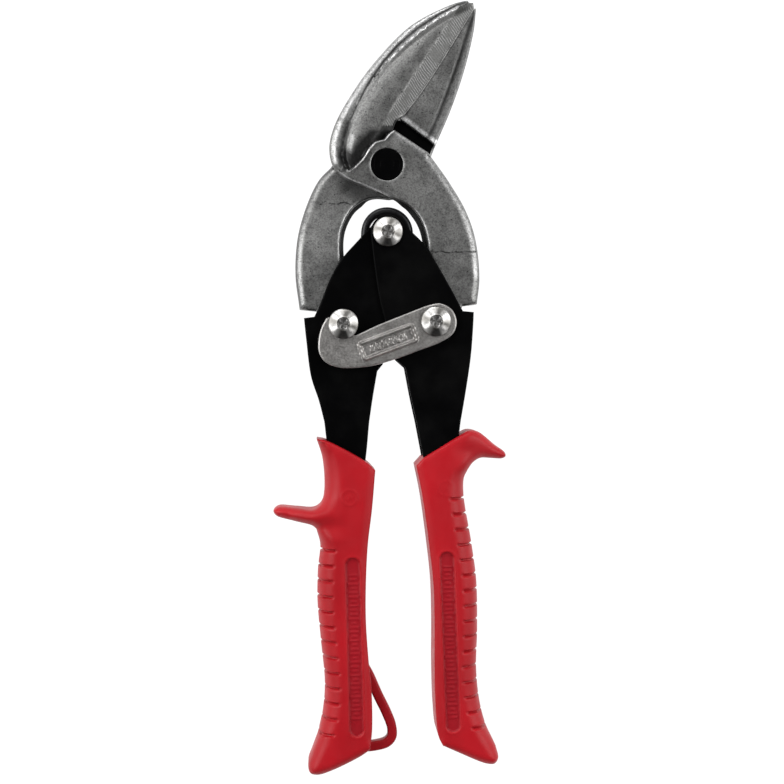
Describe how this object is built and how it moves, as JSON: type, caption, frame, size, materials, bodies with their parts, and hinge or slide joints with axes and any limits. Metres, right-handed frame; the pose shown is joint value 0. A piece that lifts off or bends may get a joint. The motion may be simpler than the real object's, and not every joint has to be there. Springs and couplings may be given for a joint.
{
  "type": "aviation snips",
  "caption": "Offset compound-action aviation snips with forged blades, stamped black handles, a swinging latch and red grips, closed and latched.",
  "frame": {"origin": "blade pivot axis, on the plane the snips lie on", "axes": "+Y towards the blade tips, +Z along every pivot and out of the front face, +X to the side of the handle with the thumb rest"},
  "size_m": [0.0732, 0.2414, 0.0207],
  "materials": {
    "forged_steel": "satin plated forging",
    "black_steel": "black satin coating on stamped steel",
    "black_hardware": "black oxide",
    "bright_steel": "bright turned steel",
    "stamped_steel": "grainy stamped steel",
    "spring_steel": "black oiled spring wire",
    "red_grip": "satin moulded plastic"
  },
  "bodies": {
    "rear_blade_group": {"rear_blade": "forged_steel", "blade_pivot_bolt": "black_hardware", "blade_pivot_washer": "bright_steel", "blade_pivot_nut": "black_hardware"},
    "front_blade_group": {"front_blade": "forged_steel"},
    "left_handle_group": {"left_handle_frame": "black_steel", "left_grip": "red_grip", "left_tang_screw": "bright_steel", "left_tang_sleeve": "bright_steel", "left_tang_nut": "black_hardware", "handle_pivot_screw": "bright_steel", "handle_pivot_sleeve": "bright_steel", "handle_pivot_nut": "black_hardware", "torsion_spring": "spring_steel"},
    "right_handle_group": {"right_handle_frame": "black_steel", "right_grip": "red_grip", "right_tang_screw": "bright_steel", "right_tang_sleeve": "bright_steel", "right_tang_nut": "black_hardware", "latch_washer": "bright_steel"},
    "latch_group": {"latch": "stamped_steel"}
  },
  "joints": [
    {"name": "blade_pivot", "type": "hinge", "parent": "rear_blade_group", "child": "front_blade_group", "pos_m": [0, 0, 0.01], "axis": [0, 0, 1], "range_deg": [0, 20]},
    {"name": "left_tang_pivot", "type": "hinge", "parent": "rear_blade_group", "child": "left_handle_group", "pos_m": [-0.0136, -0.0497, 0.01], "axis": [0, 0, 1], "range_deg": [-8.7, 0]},
    {"name": "handle_pivot", "type": "hinge", "parent": "left_handle_group", "child": "right_handle_group", "pos_m": [0.0002, -0.0211, 0.01], "axis": [0, 0, 1], "range_deg": [0, 37.2], "deforming": ["torsion_spring"]},
    {"name": "latch_pivot", "type": "hinge", "parent": "right_handle_group", "child": "latch_group", "pos_m": [0.015, -0.0489, 0.01775], "axis": [0, 0, 1], "range_deg": [0, 66.2]}
  ],
  "couplings": [
    {"joint": "left_tang_pivot", "follows": "blade_pivot", "ratio": -0.4305},
    {"joint": "handle_pivot", "follows": "blade_pivot", "ratio": 1.8543},
    {"joint": "latch_pivot", "follows": "blade_pivot", "ratio": 3.3}
  ]
}
